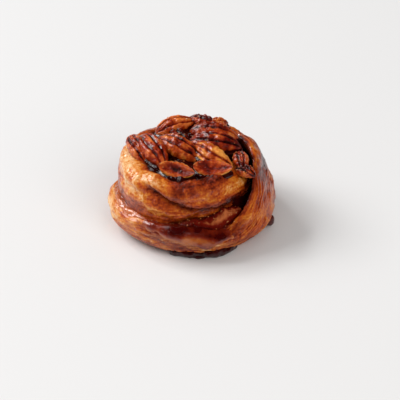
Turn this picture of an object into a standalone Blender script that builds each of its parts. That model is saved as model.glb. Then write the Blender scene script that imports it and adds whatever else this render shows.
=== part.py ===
"""Pecan sticky bun: a strip of laminated dough rolled into a spiral, baked under pecan halves and caramel.

Sizes are millimetres, and MM turns them into Blender's metres. +Z is up, and the bun stands on z = 0 with the
middle of its outline over the origin. -Y is the front, where the roll shows its swirl. A place along the roll
is counted in turns, inwards from the tail: 0.5 is left, 0.75 the front, 1 right and 1.25 the back.
"""

import math

import bmesh
import bpy
import numpy as np
from mathutils import Euler, Matrix, Vector

MM = 0.001

# Driving dimensions of the roll
BUN_RADIUS = 53.2
BUN_HEIGHT = 50.0
BELLY_HEIGHT = 13.0
FOOT_TUCK = 8.0
LEAN_IN = 6.0
LEAN_LEFT = 8.5
RIM_ROUND = 7.0
LEDGE_HEIGHT = 20.0
LAYER_RELIEF = 0.35
BLISTER_RELIEF = 0.55

# Driving dimensions of the nuts
PECAN_LENGTH = 33.0
PECAN_WIDTH = 14.6
PECAN_THICKNESS = 8.5
GROOVE_DEPTH = 1.5
CLEARANCE = 0.35

# The roll: turn, outer radius and rim height as shares of the bun's, and the crevice inside it
ROLL = np.array(
    [
        (0.36, 0.935, 0.16, 0.8),
        (0.42, 0.975, 0.26, 0.8),
        (0.50, 1.000, 0.36, 0.8),
        (0.60, 0.990, 0.40, 0.8),
        (0.70, 0.980, 0.42, 0.8),
        (0.76, 0.978, 0.40, 0.8),
        (0.82, 0.982, 0.38, 1.0),
        (0.86, 0.988, 0.46, 3.0),
        (0.90, 0.990, 0.59, 5.5),
        (0.92, 0.988, 0.68, 6.5),
        (0.94, 0.985, 0.79, 6.5),
        (1.00, 0.978, 0.90, 5.0),
        (1.12, 0.966, 0.90, 2.2),
        (1.25, 0.940, 0.86, 0.9),
        (1.37, 0.895, 0.88, 0.9),
        (1.50, 0.850, 0.95, 0.9),
        (1.62, 0.835, 0.95, 0.9),
        (1.75, 0.830, 0.94, 0.9),
        (1.88, 0.800, 0.88, 0.9),
        (2.00, 0.765, 0.82, 0.9),
        (2.25, 0.700, 0.88, 0.9),
        (2.50, 0.615, 0.86, 0.9),
        (2.75, 0.560, 0.80, 0.9),
        (3.00, 0.520, 0.80, 0.9),
        (3.50, 0.410, 0.80, 0.9),
        (4.00, 0.260, 0.80, 0.9),
    ]
)

# Turns where the roll's sections begin, change their spacing and end, and how many sections lead up to each
SECTION_TURNS = (0.37, 0.50, 2.05, 2.95)
SECTION_COUNTS = (0, 9, 108, 126)

# The crease that splits the second turn into an upper coil and a lower lobe: turn, height and depth
CREASE = np.array(
    [
        (1.61, 45.5, 0.0),
        (1.65, 43.0, 1.2),
        (1.685, 40.0, 3.4),
        (1.72, 34.5, 4.8),
        (1.76, 29.5, 5.2),
        (1.81, 26.0, 5.6),
        (1.87, 23.0, 5.6),
        (1.95, 21.0, 3.0),
        (2.04, 20.0, 0.0),
    ]
)
CREASE_WIDTH_BELOW = 4.2
CREASE_WIDTH_ABOVE = 2.4

# The lobe under the crease swells round a turn and a height, and runs out at a turn that grows up its side
LOBE_MIDDLE = (1.60, 30.0)
LOBE_HALF_SIZE = (0.11, 7.5)
LOBE_BULGE = 2.0
LOBE_END_TURN = 1.67
LOBE_END_SLOPE = 0.010
LOBE_END_FADE = 0.06

# The coil over the crease swells in the same way
COIL_MIDDLE = (1.86, 33.0)
COIL_HALF_SIZE = (0.10, 7.0)
COIL_BULGE = 1.8

# The bun's heart, baked into one below the crevices, and its caramel bed: radius and height of its rings
HEART_PROFILE = (
    (48, -2),
    (48, 0),
    (48, 4),
    (48, 9),
    (46, 14),
    (43, 17),
    (40, 20),
    (38, 26),
    (36, 31),
    (33, 37),
    (31, 41),
    (28, 44),
    (18, 45.4),
)
HEART_SKIN = 3.0
BED_TILT = 0.08

# Set caramel: where it lies along the ledge and how it swells and climbs under the coil, the arc of the pool round
# the foot, and the drip on the right
LEDGE_RUN = (0.43, 0.88)
LEDGE_RUN_HALF_WIDTH = 0.42
LEDGE_RUN_HALF_HEIGHT = 1.9
UNDER_COIL_TURN = 0.825
UNDER_COIL_HALF_SIZE = 0.075
UNDER_COIL_SWELL = 1.2
UNDER_COIL_CLIMB = 5.5
FOOT_POOL_ARC = (252, 306)
FOOT_POOL_RADIUS = 44.8
FOOT_POOL_HALF_WIDTH = 5.6
FOOT_POOL_HALF_HEIGHT = 3.0
DRIP_PLACE = (47.6, -15.5, 5.5)
DRIP_HALF_SIZE = (3.4, 2.6, 4.2)
DRIP_TURN = (0.0, 0.5, -0.3)

# Each nut: the place of its middle, its yaw, pitch and roll in degrees, and its length as a share of a half's.
# A roll near 180 turns the flat face up. A nut is cut back from those before it, which lie over it.
NUTS = (
    (-11.6, 23, 51.6, 22, -6, 16, 0.82),
    (6, 28, 50.6, -22, 2, -10, 0.70),
    (15.5, 27, 50.8, 12, 0, 0, 0.40),
    (12.5, 18, 50.0, -8, 2, -6, 0.98),
    (13.5, 6.5, 49.6, -8, 3, 14, 1.02),
    (11.5, -6.5, 47.4, -36, 10, 52, 0.90),
    (-8.5, 0.8, 48.6, -30, 14, 8, 1.02),
    (-10, 14, 47.6, -50, 10, 20, 0.80),
    (-25.6, -2.5, 48.4, -61, 16, 12, 1.00),
    (-35.2, 0.0, 47.8, -60, 22, 24, 0.78),
    (12, -19, 46.8, -4, 0, -152, 0.74),
    (-10.2, -21.0, 46.6, -16, 4, -148, 0.70),
    (29.4, -8.6, 46.0, -80, 10, 6, 0.50),
    (32.2, -16.0, 42.8, -40, 0, 24, 0.46),
)
NUT_SKIN = (0.22, 0.05, 0.018)
NUT_SHADES = (1.5, 1.0, 1.1, 1.0, 0.6, 1.6, 1.2, 0.7, 0.8, 1.3, 1.0, 1.0, 0.9, 1.2)
CRUST = (0.46, 0.17, 0.045)


def through(stations, column, turn):
    """A smooth curve through one column of the stations: cubic Hermite pieces, slopes from the neighbours."""
    knots, values = stations[:, 0], stations[:, column]
    slopes = np.gradient(values, knots)
    turn = np.clip(turn, knots[0], knots[-1])
    i = np.clip(np.searchsorted(knots, turn, side="right") - 1, 0, len(knots) - 2)
    span = knots[i + 1] - knots[i]
    u = (turn - knots[i]) / span
    return (
        (1 + 2 * u) * (1 - u) ** 2 * values[i]
        + u * (1 - u) ** 2 * span * slopes[i]
        + u**2 * (3 - 2 * u) * values[i + 1]
        + u**2 * (u - 1) * span * slopes[i + 1]
    )


def rim_height(turn):
    """Top of the rolled strip, a little uneven along its length."""
    wobble = 0.8 * np.sin(math.tau * 4.3 * turn + 1.0) + 0.5 * np.sin(math.tau * 9.7 * turn)
    return through(ROLL, 2, turn) * BUN_HEIGHT + wobble


def lean(height):
    """How far the wall has leaned at a height: none up to the belly, all of it at the bun's top."""
    return (np.clip(height - BELLY_HEIGHT, 0, None) / (BUN_HEIGHT - BELLY_HEIGHT)) ** 1.25


def crease_and_lobe(turn, height):
    """How far the second turn's outer face stands out or in: crease, recess past the lobe, lobe and coil."""
    depth = np.where((turn > CREASE[0, 0]) & (turn < CREASE[-1, 0]), through(CREASE, 2, turn), 0)
    above = height - through(CREASE, 1, turn)
    notch = np.exp(-((above / np.where(above > 0, CREASE_WIDTH_ABOVE, CREASE_WIDTH_BELOW)) ** 2))
    end = LOBE_END_TURN + LOBE_END_SLOPE * (height - LEDGE_HEIGHT)
    ended = np.clip((turn - end) / LOBE_END_FADE, 0, 1)
    recess = np.where(above < 0, notch + (1 - notch) * ended**2 * (3 - 2 * ended), notch)
    swollen = -depth * recess
    for middle, half_size, bulge in (
        (LOBE_MIDDLE, LOBE_HALF_SIZE, LOBE_BULGE),
        (COIL_MIDDLE, COIL_HALF_SIZE, COIL_BULGE),
    ):
        across, up = (turn - middle[0]) / half_size[0], (height - middle[1]) / half_size[1]
        swollen = swollen + bulge * np.exp(-(across**2) - up**2)
    return swollen


def wall_radius(turn, height, creased=True):
    """Outer face of the roll: widest at the belly, tucked in at the foot, leaning in, layered and blistered."""
    tuck = FOOT_TUCK * np.clip(1 - height / BELLY_HEIGHT, 0, 1.1) ** 2
    layers = np.sin(height / 1.7 + 2.2 * np.sin(math.tau * 1.3 * turn))
    blisters = np.sin(math.tau * 6.1 * turn + height / 7) * np.sin(height / 6 - math.tau * 2.7 * turn)
    relief = LAYER_RELIEF * layers + BLISTER_RELIEF * blisters
    radius = through(ROLL, 1, turn) * BUN_RADIUS - tuck - LEAN_IN * lean(height) + relief
    return radius + crease_and_lobe(turn, height) if creased else radius


def settle_shape(x, y, z):
    """The bun's uneven form: its top leans to the left, and proving has pushed it gently in and out."""
    return (
        x - LEAN_LEFT * lean(z) + 0.9 * np.sin(y / 19 + z / 23 - 1.2),
        y + 0.9 * np.sin(x / 21 - z / 17 + 2.0),
        z + 0.8 * np.clip(z / 20, 0, 1) * np.sin(x / 16 + y / 25),
    )


def settled_points(radius, angle, height):
    """Points at a radius, a direction and a height, moved as the bun has settled."""
    x, y, z = np.broadcast_arrays(radius * np.cos(angle), radius * np.sin(angle), height)
    return np.stack(settle_shape(x, y, z), axis=-1)


def strip_section(turn, outer_steps, rim_steps, inner_steps):
    """Sides and levels round the strip: up the outer face, over the rounded rim and down the inner face.

    A side runs from -1 on the inner face to 1 on the outer one, and a level from 0 at the foot to 1 on top.
    """
    round_share = np.minimum(RIM_ROUND / rim_height(turn), 0.5)
    up = np.linspace(0, 1, outer_steps, endpoint=False)[None, :] * (1 - round_share)
    down = np.linspace(1, 0, inner_steps + 1)[None, 1:] * (1 - round_share)
    arc = np.linspace(0, math.pi, rim_steps)[None, :]
    over = 1 - round_share + round_share * np.sin(arc)
    side = np.concatenate([np.ones_like(up), np.cos(arc) + 0 * turn, -np.ones_like(down)], axis=1)
    return side, np.concatenate([up, over, down], axis=1)


def loft(name, rings, collection):
    """A closed skin of triangles over rings of points in millimetres, each end closed by a fan."""
    count, around = rings.shape[:2]
    start = np.arange(count - 1)[:, None] * around
    step = np.arange(around)
    after = (step + 1) % around
    corners = (start + step, start + around + step, start + around + after, start + after)
    faces = np.stack(corners, axis=-1).reshape(-1, 4).tolist()
    first, last = count * around, count * around + 1
    faces += [(first, (j + 1) % around, j) for j in range(around)]
    faces += [(last, first - around + j, first - around + (j + 1) % around) for j in range(around)]
    points = np.concatenate([rings.reshape(-1, 3), [rings[0].mean(axis=0), rings[-1].mean(axis=0)]])
    mesh = bpy.data.meshes.new(name)
    mesh.from_pydata([Vector(p) * MM for p in points], [], faces)
    build = bmesh.new()
    build.from_mesh(mesh)
    bmesh.ops.triangulate(build, faces=build.faces)
    bmesh.ops.recalc_face_normals(build, faces=build.faces)
    build.to_mesh(mesh)
    build.free()
    made = bpy.data.objects.new(name, mesh)
    collection.objects.link(made)
    return made


def rolled_strip(collection):
    """The dough strip from its thin tail to the heart of the roll, one loft between unlike sections."""
    foot = -1.0
    turn = np.interp(np.arange(SECTION_COUNTS[-1] + 1), SECTION_COUNTS, SECTION_TURNS)[:, None]
    side, level = strip_section(turn, outer_steps=13, rim_steps=7, inner_steps=3)
    height = foot + level * (rim_height(turn) - foot)
    outer = wall_radius(turn, height)
    inner = wall_radius(turn + 1, height, creased=False) + through(ROLL, 3, turn)
    radius = inner + (outer - inner) * (side + 1) / 2
    return loft("rolled_strip", settled_points(radius, math.tau * turn, height), collection)


def heart_core(collection):
    """The bun's heart, whose rings stay a skin's depth inside the outermost turn and rise to the back."""
    share = np.linspace(0, 1, 56, endpoint=False)
    outermost = np.where(share > ROLL[0, 0], share, share + 1)
    angle = math.tau * share
    rings = []
    for widest, height in HEART_PROFILE:
        radius = np.minimum(widest, wall_radius(outermost, height) - HEART_SKIN)
        rise = BED_TILT * height / BUN_HEIGHT * radius * np.sin(angle)
        rings.append(settled_points(radius, angle, height + rise))
    return loft("heart_core", np.array(rings), collection)


def ledge_caramel(collection):
    """Caramel set along the ledge of the outer turn, a flattened bead that climbs the wall under the coil."""
    steps = 36
    turn = np.linspace(*LEDGE_RUN, steps)[:, None]
    taper = np.sin(math.pi * np.linspace(0.04, 0.96, steps))[:, None] ** 0.5
    level = np.minimum(rim_height(turn), LEDGE_HEIGHT + 0.6) - 0.8 - 1.6 * (1 - taper)
    outer, inner = wall_radius(turn, level), wall_radius(turn + 1, level)
    half_width = LEDGE_RUN_HALF_WIDTH * (outer - inner) * taper * (1 + 0.08 * np.sin(math.tau * 9 * turn))
    middle = (outer + inner) / 2 - 0.12 * (outer - inner)
    under_coil = np.exp(-(((turn - UNDER_COIL_TURN) / UNDER_COIL_HALF_SIZE) ** 2))
    half_height = LEDGE_RUN_HALF_HEIGHT * taper + UNDER_COIL_SWELL * under_coil
    around = np.linspace(0, math.tau, 10, endpoint=False)[None, :]
    climb = UNDER_COIL_CLIMB * under_coil * (1 - np.cos(around)) / 2
    radius = middle + half_width * np.cos(around)
    height = level + climb + half_height * np.sin(around)
    return loft("ledge_caramel", settled_points(radius, math.tau * turn, height), collection)


def foot_pool(collection):
    """Caramel that has run down the front and set round the foot."""
    along = np.linspace(0, 1, 26)[:, None]
    start, end = (math.radians(limit) for limit in FOOT_POOL_ARC)
    way = start + along * (end - start)
    around = np.linspace(0, math.tau, 10, endpoint=False)[None, :]
    taper = np.sin(math.pi * (0.05 + 0.9 * along)) ** 0.5
    radius = FOOT_POOL_RADIUS + 0.8 * np.sin(9 * way) + FOOT_POOL_HALF_WIDTH * taper * np.cos(around)
    height = 0.9 + FOOT_POOL_HALF_HEIGHT * taper * np.sin(around)
    points = np.stack([radius * np.cos(way), radius * np.sin(way), height], axis=-1)
    return loft("foot_pool", points, collection)


def side_drip(collection):
    """A drop of caramel that has set on the right-hand side, low down."""
    bpy.ops.mesh.primitive_ico_sphere_add(subdivisions=2, radius=1)
    made = bpy.context.object
    made.name = "side_drip"
    place, turned, size = Vector(DRIP_PLACE) * MM, Euler(DRIP_TURN), Vector(DRIP_HALF_SIZE) * MM
    made.data.transform(Matrix.LocRotScale(place, turned, size))
    for held_by in made.users_collection:
        held_by.objects.unlink(made)
    collection.objects.link(made)
    return made


def apply_boolean(made, operation, others, solver):
    """Joins or cuts a solid with everything in a collection, and gives it the result as its mesh."""
    change = made.modifiers.new(operation.lower(), "BOOLEAN")
    change.operation = operation
    change.operand_type = "COLLECTION"
    change.collection = others
    change.solver = solver
    graph = bpy.context.evaluated_depsgraph_get()
    result = bpy.data.meshes.new_from_object(made.evaluated_get(graph))
    made.modifiers.clear()
    made.data = result
    return result


def empty_out(collection):
    """Removes a collection with all that it holds."""
    for held in list(collection.objects):
        bpy.data.objects.remove(held)
    bpy.data.collections.remove(collection)


def fused_dough(strip, others, home):
    """One solid from the strip and the pieces that lie against it, cut flat at the base."""
    made = bpy.data.objects.new("dough", strip.data.copy())
    home.objects.link(made)
    bpy.data.objects.remove(strip)
    mesh = apply_boolean(made, "UNION", others, "EXACT")
    empty_out(others)
    build = bmesh.new()
    build.from_mesh(mesh)
    cut = bmesh.ops.bisect_plane(
        build,
        geom=[*build.verts, *build.edges, *build.faces],
        dist=0.01 * MM,
        plane_co=(0, 0, 0),
        plane_no=(0, 0, 1),
        clear_inner=True,
    )
    rim = [edge for edge in cut["geom_cut"] if isinstance(edge, bmesh.types.BMEdge)]
    bmesh.ops.edgeloop_fill(build, edges=rim)
    bmesh.ops.triangulate(build, faces=build.faces)
    bmesh.ops.recalc_face_normals(build, faces=build.faces)
    build.to_mesh(mesh)
    build.free()
    return made


def finish(made, name, colour, roughness):
    """Gives an object a Principled material of its own, in one colour."""
    material = bpy.data.materials.new(name)
    material.use_nodes = True
    shader = material.node_tree.nodes["Principled BSDF"]
    shader.inputs["Base Color"].default_value = (*colour, 1)
    shader.inputs["Roughness"].default_value = roughness
    material.diffuse_color = (*colour, 1)
    made.data.materials.clear()
    made.data.materials.append(material)


def pecan_rings(length, width, thickness, rings=8, around=16):
    """A shelled pecan half, long axis on X: a ridged, domed back over a flat face with a shallow channel."""
    along = -np.cos(np.linspace(0.16, math.pi - 0.16, rings))[:, None]
    angle = np.linspace(0, math.tau, around, endpoint=False)[None, :]
    up = np.sin(angle)
    girth = (1 - np.abs(along) ** 2.4) ** 0.62 * (1 - 0.14 * along)
    across = np.cos(angle) * (1 + 0.05 * np.sin(5 * along + 1))
    grooves = np.exp(-(((np.abs(across) - 0.38) / 0.13) ** 2)) * (up > 0)
    wrinkles = 0.3 * np.sin(17 * along + 4 * across) * (up > 0.2)
    dome = np.where(up > 0, 0.70, 0.30) * thickness * np.sign(up) * np.abs(up) ** 0.8
    channel = 0.16 * thickness * np.exp(-((across / 0.22) ** 2)) * (up < -0.1)
    x = length / 2 * along + 0 * angle
    y = width / 2 * girth * across
    z = girth * (dome - GROOVE_DEPTH * grooves + wrinkles + channel) - 0.09 * length * along**2
    return np.stack([x, y, z], axis=-1)


def nut_object(name, place, clearance, collection):
    """One pecan half or broken piece in its place, grown all round by a clearance to cut others."""
    *middle, yaw, pitch, roll, share = place
    broad = 0.9 * share + 0.1 if share > 0.5 else 1.3 * share
    size = np.array([PECAN_LENGTH * share, PECAN_WIDTH * broad, PECAN_THICKNESS * broad]) + 2 * clearance
    turned = np.array(Euler([math.radians(a) for a in (roll, pitch, yaw)]).to_matrix())
    return loft(name, pecan_rings(*size) @ turned.T + np.array(middle), collection)


def keep_whole(mesh):
    """Triangulates a mesh and leaves only its largest connected body, so that no loose scrap stays behind."""
    build = bmesh.new()
    build.from_mesh(mesh)
    bmesh.ops.triangulate(build, faces=build.faces)
    left, bodies = set(build.verts), []
    while left:
        body, front = set(), [left.pop()]
        while front:
            corner = front.pop()
            body.add(corner)
            near = {edge.other_vert(corner) for edge in corner.link_edges} & left
            left -= near
            front += near
        bodies.append(body)
    kept = max(bodies, key=len)
    scraps = [corner for body in bodies if body is not kept for corner in body]
    bmesh.ops.delete(build, geom=scraps, context="VERTS")
    bmesh.ops.recalc_face_normals(build, faces=build.faces)
    build.to_mesh(mesh)
    build.free()


def scatter_pecans(dough, home):
    """The pecan halves and broken pieces, each cut back from those above it, and the dough from them all."""
    cutters = bpy.data.collections.new("nut_cutters")
    bpy.context.scene.collection.children.link(cutters)
    for number, (place, shade) in enumerate(zip(NUTS, NUT_SHADES), 1):
        nut = nut_object(f"pecan_{number:02d}", place, 0, home)
        if cutters.objects:
            keep_whole(apply_boolean(nut, "DIFFERENCE", cutters, "MANIFOLD"))
        finish(nut, f"nut_skin_{number:02d}", [part * shade for part in NUT_SKIN], 0.3)
        nut_object(f"nut_cutter_{number:02d}", place, CLEARANCE, cutters)
    keep_whole(apply_boolean(dough, "DIFFERENCE", cutters, "MANIFOLD"))
    empty_out(cutters)


def centre(made):
    """Moves every mesh sideways by the same amount, so that the bun's box has its middle over the origin."""
    corners = np.array([corner.co for each in made for corner in each.data.vertices])
    middle = (corners.min(axis=0) + corners.max(axis=0)) / 2
    for each in made:
        each.data.transform(Matrix.Translation((-middle[0], -middle[1], 0)))


def build_bun():
    """The dough with its caramel, then the nuts on it."""
    for old in list(bpy.data.objects):
        bpy.data.objects.remove(old)
    home = bpy.data.collections.new("sticky_bun")
    bpy.context.scene.collection.children.link(home)
    pieces = bpy.data.collections.new("dough_pieces")
    bpy.context.scene.collection.children.link(pieces)
    strip = rolled_strip(home)
    heart_core(pieces)
    ledge_caramel(pieces)
    foot_pool(pieces)
    side_drip(pieces)
    dough = fused_dough(strip, pieces, home)
    scatter_pecans(dough, home)
    finish(dough, "baked_dough", CRUST, 0.35)
    centre(home.objects)


build_bun()
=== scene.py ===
"""Pecan sticky bun: the baked look of a rolled, laminated bun with pecan halves and set caramel.

Sizes are millimetres, and MM turns them into metres. Only the lamps and the camera are placed in metres.
+Z is up and -Y is the front. A place along the rolled strip is counted in turns, inwards from its tail:
0.5 is left, 0.75 the front, 1 right and 1.25 the back.
"""

import math

import bpy
import numpy as np
from mathutils import Euler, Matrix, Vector


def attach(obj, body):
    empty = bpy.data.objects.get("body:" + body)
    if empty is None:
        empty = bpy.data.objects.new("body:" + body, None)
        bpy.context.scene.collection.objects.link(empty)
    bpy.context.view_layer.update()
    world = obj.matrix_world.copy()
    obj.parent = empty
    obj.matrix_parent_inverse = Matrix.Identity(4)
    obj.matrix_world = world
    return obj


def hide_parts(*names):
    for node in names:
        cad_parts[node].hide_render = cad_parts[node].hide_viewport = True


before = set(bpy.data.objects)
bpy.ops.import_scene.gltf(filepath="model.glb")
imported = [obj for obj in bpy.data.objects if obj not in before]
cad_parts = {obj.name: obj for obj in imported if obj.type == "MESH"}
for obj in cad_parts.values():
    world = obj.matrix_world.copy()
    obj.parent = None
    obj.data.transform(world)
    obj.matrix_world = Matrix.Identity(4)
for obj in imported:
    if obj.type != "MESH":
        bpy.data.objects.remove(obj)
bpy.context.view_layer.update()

MM = 0.001
HOME = bpy.context.scene.collection

# The rolled dough: one strip of butter-laminated dough, coiled up and baked until its layers have split and
# browned. It is one closed skin, carried along the spiral, with its layers and blisters standing out.
BUN_RADIUS, BUN_HEIGHT, BELLY_HEIGHT = 53.2, 50.0, 13.0
FOOT_TUCK, LEAN_IN, LEAN_LEFT, RIM_ROUND = 8.0, 6.0, 8.5, 7.0
CENTRING = (1.101, 0.146, 0.0)

# The roll: turn, outer radius and rim height as shares of the bun's, and the crevice inside it
ROLL = np.array(
    [
        (0.36, 0.935, 0.16, 0.8),
        (0.42, 0.975, 0.26, 0.8),
        (0.50, 1.000, 0.36, 0.8),
        (0.60, 0.990, 0.40, 0.8),
        (0.70, 0.980, 0.42, 0.8),
        (0.76, 0.978, 0.40, 0.8),
        (0.82, 0.982, 0.38, 1.0),
        (0.86, 0.988, 0.46, 3.0),
        (0.90, 0.990, 0.59, 5.5),
        (0.92, 0.988, 0.68, 7.3),
        (0.94, 0.985, 0.79, 7.5),
        (1.00, 0.978, 0.90, 5.2),
        (1.12, 0.966, 0.90, 1.2),
        (1.25, 0.940, 0.86, 0.9),
        (1.37, 0.895, 0.88, 0.9),
        (1.50, 0.850, 0.95, 0.9),
        (1.62, 0.835, 0.95, 0.9),
        (1.75, 0.830, 0.94, 0.9),
        (1.88, 0.800, 0.88, 0.9),
        (2.00, 0.765, 0.82, 0.9),
        (2.25, 0.700, 0.92, 0.9),
        (2.40, 0.600, 0.88, 0.9),
        (2.50, 0.530, 0.86, 0.9),
        (2.62, 0.525, 0.84, 0.9),
        (2.70, 0.560, 0.81, 0.9),
        (2.75, 0.560, 0.80, 0.9),
        (3.00, 0.520, 0.80, 0.9),
        (3.50, 0.410, 0.80, 0.9),
        (4.00, 0.260, 0.80, 0.9),
    ]
)

# The crease that splits the second turn into a coil and a lobe: turn, height and depth
CREASE = np.array(
    [
        (1.61, 45.5, 0.0),
        (1.65, 43.0, 1.2),
        (1.685, 40.0, 3.4),
        (1.72, 34.5, 4.8),
        (1.76, 30.3, 5.2),
        (1.81, 27.8, 5.6),
        (1.87, 25.4, 5.6),
        (1.95, 23.4, 3.0),
        (2.04, 22.0, 0.0),
    ]
)
CREASE_WIDTH, CREASE_LIP, FISSURE_WIDTH, FISSURE_DEPTH = 4.2, 2.4, 1.1, 1.0
LOBE_BULGE, COIL_BULGE = 2.0, 1.8

# Where the crust is paler or darker than the rest, and where syrup has soaked in. Besides real browning and
# syrup, the patches hold painted light: the pale ones on the upper left wall, the lobe's upper edge, the coil's
# front and the outer turn's left edge are partly a painted highlight, and the dark, wet ones low on the left
# wall, on the right wall, in the crease and by the crevice at the coil's end are partly painted shade.
# turn, height, half size in turns, half size in height, browning and painted light added, and syrup and
# painted shade added
CRUST_AND_LIGHT_PATCHES = (
    # The upper left wall: paler, partly as a painted highlight where the lamp strikes
    (1.50, 46.0, 0.060, 7.0, -0.42, 0.00),
    (1.58, 47.0, 0.070, 5.0, -0.26, 0.00),
    (1.66, 47.5, 0.045, 3.5, -0.22, 0.00),
    (1.54, 39.0, 0.080, 5.0, -0.16, 0.00),
    (1.53, 29.0, 0.070, 5.0, 0.12, 0.00),
    # The lobe's upper edge: paler, partly as a painted highlight
    (1.62, 37.5, 0.040, 4.0, -0.36, 0.00),
    (1.67, 28.0, 0.070, 4.5, 0.02, 0.05),
    (1.73, 42.0, 0.040, 6.0, 0.18, 0.30),
    # The coil's front: paler, partly as a painted highlight
    (1.88, 36.0, 0.055, 4.0, -0.16, 0.00),
    (1.83, 44.5, 0.090, 3.0, 0.26, 0.30),
    # In the crease under the coil: painted shade, with some real syrup
    (1.84, 27.5, 0.090, 3.4, 0.22, 0.35),
    # At the coil's end by the crevice: painted shade, with some real syrup
    (1.995, 30.0, 0.026, 7.0, 0.45, 0.70),
    (1.92, 35.0, 0.040, 4.0, -0.20, 0.00),
    # Along the crease under the coil: painted shade, with some real syrup
    (1.86, 31.0, 0.085, 3.0, 0.38, 0.45),
    (1.56, 24.5, 0.090, 5.0, 0.12, 0.00),
    # The outer turn's left edge: paler, partly as a painted highlight where the lamp strikes
    (0.53, 15.0, 0.055, 8.0, -0.46, 0.00),
    (0.60, 16.0, 0.040, 5.0, -0.12, 0.00),
    (0.66, 9.0, 0.040, 5.0, 0.00, 0.10),
    (0.68, 17.0, 0.060, 3.5, 0.10, 0.70),
    (0.745, 12.0, 0.065, 9.0, 0.05, 0.65),
    (0.825, 19.0, 0.040, 5.0, 0.12, 0.80),
    (0.84, 8.0, 0.050, 5.0, 0.02, 0.25),
    (0.90, 18.0, 0.035, 7.0, -0.14, 0.00),
    # The right wall: darker, partly as painted shade away from the lamp
    (0.95, 30.0, 0.040, 7.0, 0.16, 0.05),
    (1.03, 37.0, 0.070, 5.0, 0.46, 0.35),
    (1.05, 43.5, 0.090, 2.5, -0.10, 0.00),
)


def through(stations, column, turn):
    """A smooth curve through a column of the stations: cubic Hermite pieces, slopes from the neighbours."""
    knots, values = stations[:, 0], stations[:, column]
    slopes = np.gradient(values, knots)
    turn = np.clip(turn, knots[0], knots[-1])
    i = np.clip(np.searchsorted(knots, turn, side="right") - 1, 0, len(knots) - 2)
    span = knots[i + 1] - knots[i]
    u = (turn - knots[i]) / span
    return (
        (1 + 2 * u) * (1 - u) ** 2 * values[i]
        + u * (1 - u) ** 2 * span * slopes[i]
        + u**2 * (3 - 2 * u) * values[i + 1]
        + u**2 * (u - 1) * span * slopes[i + 1]
    )


def step_up(value, low, high):
    """0 below low, 1 above high, and a smoothstep between."""
    share = np.clip((value - low) / (high - low), 0, 1)
    return share * share * (3 - 2 * share)


def bell(value, middle, width):
    """1 at the middle, and e to the power of minus the square of the distance over the width elsewhere."""
    return np.exp(-(((value - middle) / width) ** 2))


def rim_height(turn):
    """Top of the rolled strip: the curve through its stations, and two small waves along it."""
    wobble = 0.8 * np.sin(math.tau * 4.3 * turn + 1.0) + 0.5 * np.sin(math.tau * 9.7 * turn)
    return through(ROLL, 2, turn) * BUN_HEIGHT + wobble


def lean(height):
    """How far the wall has leaned at a height: none up to the belly, then a 1.25th power up to the top."""
    return (np.clip(height - BELLY_HEIGHT, 0, None) / (BUN_HEIGHT - BELLY_HEIGHT)) ** 1.25


def crease_and_lobe(turn, height):
    """Relief of the second turn's face: two bulges, less a bell-shaped groove and the recess past the lobe."""
    depth = np.where((turn > CREASE[0, 0]) & (turn < CREASE[-1, 0]), through(CREASE, 2, turn), 0)
    above = height - through(CREASE, 1, turn)
    notch = bell(above, 0, np.where(above > 0, CREASE_LIP, CREASE_WIDTH))
    past_lobe = step_up(turn - 0.010 * (height - 20), 1.67, 1.73)
    recess = np.where(above < 0, notch + (1 - notch) * past_lobe, notch)
    fissure = FISSURE_DEPTH * np.clip(depth / 3, 0, 1) * bell(above, 0, FISSURE_WIDTH)
    lobe = LOBE_BULGE * bell(turn, 1.60, 0.11) * bell(height, 30.0, 7.5)
    coil = COIL_BULGE * bell(turn, 1.86, 0.10) * bell(height, 33.0, 7.0)
    return lobe + coil - depth * recess - fissure


def wall_radius(turn, height, creased=True):
    """Outer face of the roll: its station's radius, less a squared tuck at the foot and the lean, and waves."""
    tuck = FOOT_TUCK * np.clip(1 - height / BELLY_HEIGHT, 0, 1.1) ** 2
    layers = np.sin(height / 1.7 + 2.2 * np.sin(math.tau * 1.3 * turn))
    blisters = np.sin(math.tau * 6.1 * turn + height / 7) * np.sin(height / 6 - math.tau * 2.7 * turn)
    relief = 0.35 * layers + 0.55 * blisters
    radius = through(ROLL, 1, turn) * BUN_RADIUS - tuck - LEAN_IN * lean(height) + relief
    return radius + crease_and_lobe(turn, height) if creased else radius


def settled_points(radius, angle, height):
    """Points at a radius, direction and height: the top leans left, and slow waves push the form about."""
    x, y, z = np.broadcast_arrays(radius * np.cos(angle), radius * np.sin(angle), height)
    moved = (
        x - LEAN_LEFT * lean(z) + 0.9 * np.sin(y / 19 + z / 23 - 1.2),
        y + 0.9 * np.sin(x / 21 - z / 17 + 2.0),
        z + 0.8 * np.clip(z / 20, 0, 1) * np.sin(x / 16 + y / 25),
    )
    return np.stack(moved, axis=-1) + CENTRING


def strip_section(turn, outer_steps, rim_steps, inner_steps):
    """Sides and levels round the strip: up its outer face, over a half-round rim, down its inner face."""
    round_share = np.minimum(RIM_ROUND / rim_height(turn), 0.5)
    up = np.linspace(0, 1, outer_steps, endpoint=False)[None, :] * (1 - round_share)
    down = np.linspace(1, 0, inner_steps + 1)[None, 1:] * (1 - round_share)
    arc = np.linspace(0, math.pi, rim_steps)[None, :]
    over = 1 - round_share + round_share * np.sin(arc)
    side = np.concatenate([np.ones_like(up), np.cos(arc) + 0 * turn, -np.ones_like(down)], axis=1)
    return side, np.concatenate([up, over, down], axis=1)


def strip_skin(turn, side, level):
    """Points of the strip's skin: from inner to outer face by the side, and up to the rim by the level."""
    height = level * rim_height(turn)
    outer = wall_radius(turn, height)
    inner = wall_radius(turn + 1, height, creased=False) + through(ROLL, 3, turn)
    radius = inner + (outer - inner) * (side + 1) / 2
    return settled_points(radius, math.tau * turn, height)


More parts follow.
